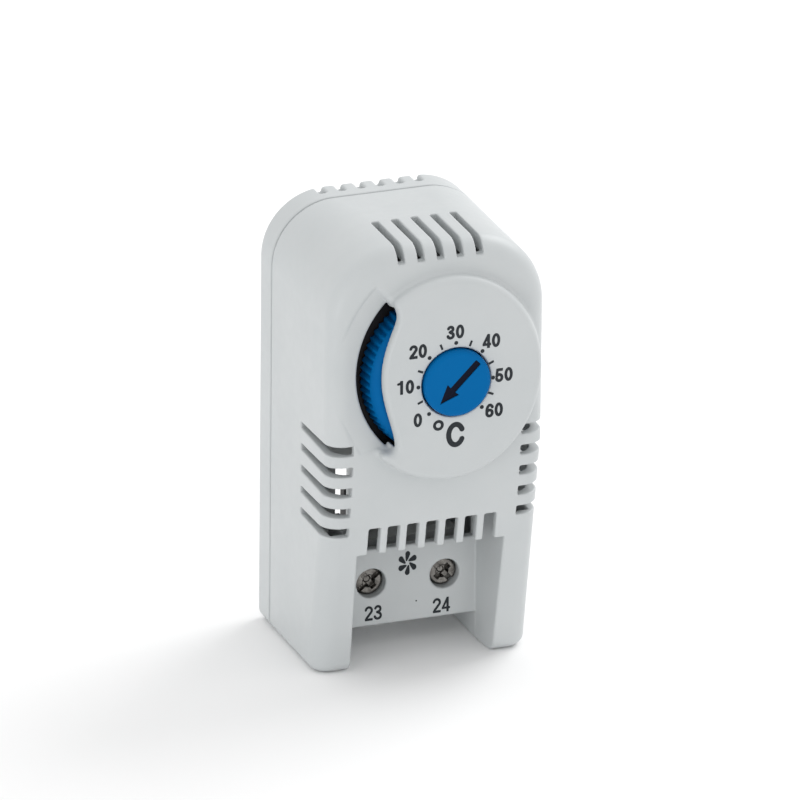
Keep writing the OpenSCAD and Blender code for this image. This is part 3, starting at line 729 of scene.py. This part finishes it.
def annulus(name, x, z, ro, ri, y, thick, body, mat, n=40):
    verts, faces = [], []
    for r, yy in ((ro, y), (ro, y - thick), (ri, y - thick), (ri, y)):
        for i in range(n):
            a = 2 * math.pi * i / n
            verts.append((x + r * math.cos(a), yy, z + r * math.sin(a)))
    for b in range(4):
        c = (b + 1) % 4
        for i in range(n):
            j = (i + 1) % n
            faces.append((b * n + i, b * n + j, c * n + j, c * n + i))
    return plain_piece(name, verts, faces, body, [], mat, False)


annulus("unit_degree", -0.84, 40.24, 0.82, 0.38, FACE, 0.025, "case", INK)

marks = []
MX, MZ = 1.74, 46.5
for i in range(13):
    a = math.radians(-135.0 + 22.5 * i)
    if i % 2 == 0:
        marks.append(ring_poly(MX + 5.7 * math.sin(a), MZ + 6.1 * math.cos(a), 0.30, 20))
    else:
        t = (math.sin(a), math.cos(a))
        n = (math.cos(a), -math.sin(a))
        r0, r1, w = 5.75, 6.65, 0.17
        k = 0.94
        marks.append([(MX + (t[0] * r0 + n[0] * w) * k, MZ + t[1] * r0 + n[1] * w), (MX + (t[0] * r1 + n[0] * w) * k, MZ + t[1] * r1 + n[1] * w),
                      (MX + (t[0] * r1 - n[0] * w) * k, MZ + t[1] * r1 - n[1] * w), (MX + (t[0] * r0 - n[0] * w) * k, MZ + t[1] * r0 - n[1] * w)])
flat_mesh("scale_marks", marks, FACE, 0.025, "case", INK)

REC = 11.85
text_piece("terminal_number_23", "23", -5.3, 6.2, REC, 2.3, 0.083, 0.93)
text_piece("terminal_number_24", "24", 5.2, 6.0, REC, 2.3, 0.083, 0.93)


def fan(a, c):
    """Six blades, each a drop that is thick at its outer end."""
    u, v = (a + 0.1) / 0.82, c - 13.3
    d = 1e3
    for i in range(6):
        t = math.radians(60 * i)
        p = (0.50 * math.sin(t - 0.35), 0.50 * math.cos(t - 0.35))
        q = (1.42 * math.sin(t + 0.02), 1.42 * math.cos(t + 0.02))
        wx, wv = q[0] - p[0], q[1] - p[1]
        k = np.clip(((u - p[0]) * wx + (v - p[1]) * wv) / (wx * wx + wv * wv), 0, 1)
        d = np.minimum(d, np.hypot(u - p[0] - k * wx, v - p[1] - k * wv) - 0.17 - 0.29 * k ** 0.8)
    return d * 0.82


slab_piece("fan_symbol", fan, -1.9, 1.7, 11.2, 15.4, REC, 0.02, 0.045)
annulus("mould_mark", 1.3, 7.2, 0.11, 0.03, REC, 0.05, "case", INK, 16)

# ---------------------------------------------------------------- stage, camera, light

def stage_mat():
    m, nt, b, vec = new_mat("floor_white")
    nt.links.new(ramp(nt, noise(nt, vec, 3.0, 2.0), [(0.3, (0.93, 0.93, 0.93)), (0.7, (0.95, 0.95, 0.95))]), b.inputs["Base Color"])
    b.inputs["Roughness"].default_value = 0.9
    b.inputs["Specular IOR Level"].default_value = 0.1
    return m


me = bpy.data.meshes.new("floor")
S = 30.0
me.from_pydata([(-S, -S, -0.00002), (S, -S, -0.00002), (S, S, -0.00002), (-S, S, -0.00002)], [], [(0, 1, 2, 3)])
me.materials.append(stage_mat())
floor = bpy.data.objects.new("floor", me)
bpy.context.scene.collection.objects.link(floor)

az, el, roll = math.radians(-20.73), math.radians(22.21), math.radians(0.56)
back = Vector((math.sin(az) * math.cos(el), -math.cos(az) * math.cos(el), math.sin(el)))
fwd = -back
right = fwd.cross(Vector((0, 0, 1))).normalized()
up = right.cross(fwd)
right2 = math.cos(roll) * right + math.sin(roll) * up
up2 = -math.sin(roll) * right + math.cos(roll) * up
P0 = Vector((0.0, 15.0 - YM, 33.0 + 1.3))
C = P0 - (0.26 * right2 - 2.952 * up2 + 2109.0 * fwd)
cam = bpy.data.cameras.new("camera")
cam.sensor_fit = "HORIZONTAL"
cam.sensor_width = 36.0
cam.lens = 14646.0 / 800.0 * 36.0
cam.clip_start = 0.05
cam.clip_end = 100.0
co = bpy.data.objects.new("camera", cam)
co.matrix_world = Matrix(((right2.x, up2.x, -fwd.x, C.x * MM), (right2.y, up2.y, -fwd.y, C.y * MM),
                          (right2.z, up2.z, -fwd.z, C.z * MM), (0, 0, 0, 1)))
bpy.context.scene.collection.objects.link(co)
bpy.context.scene.camera = co


def area(name, loc, target, size, power, color=(1, 1, 1)):
    l = bpy.data.lights.new(name, "AREA")
    l.shape = "SQUARE"
    l.size = size
    l.energy = power
    l.color = color
    o = bpy.data.objects.new(name, l)
    o.location = loc
    o.rotation_euler = (Vector(target) - Vector(loc)).to_track_quat("-Z", "Y").to_euler()
    bpy.context.scene.collection.objects.link(o)
    return o


area("top_right", (0.45, 0.20, 0.45), (0, 0, 0.03), 0.40, 1.82)
area("left_low", (-0.65, -0.35, 0.03), (0, 0, 0.03), 0.25, 0.85)
area("left_side", (-0.70, -0.10, 0.12), (0, 0, 0.03), 0.40, 0.09)

world = bpy.data.worlds.new("studio")
world.use_nodes = True
bg = world.node_tree.nodes["Background"]
bg.inputs["Color"].default_value = (1.0, 1.0, 1.0, 1.0)
bg.inputs["Strength"].default_value = 0.947
bpy.context.scene.world = world
vs = bpy.context.scene.view_settings
vs.view_transform = "Standard"
vs.look = "None"
vs.exposure = 0.0
vs.gamma = 1.0
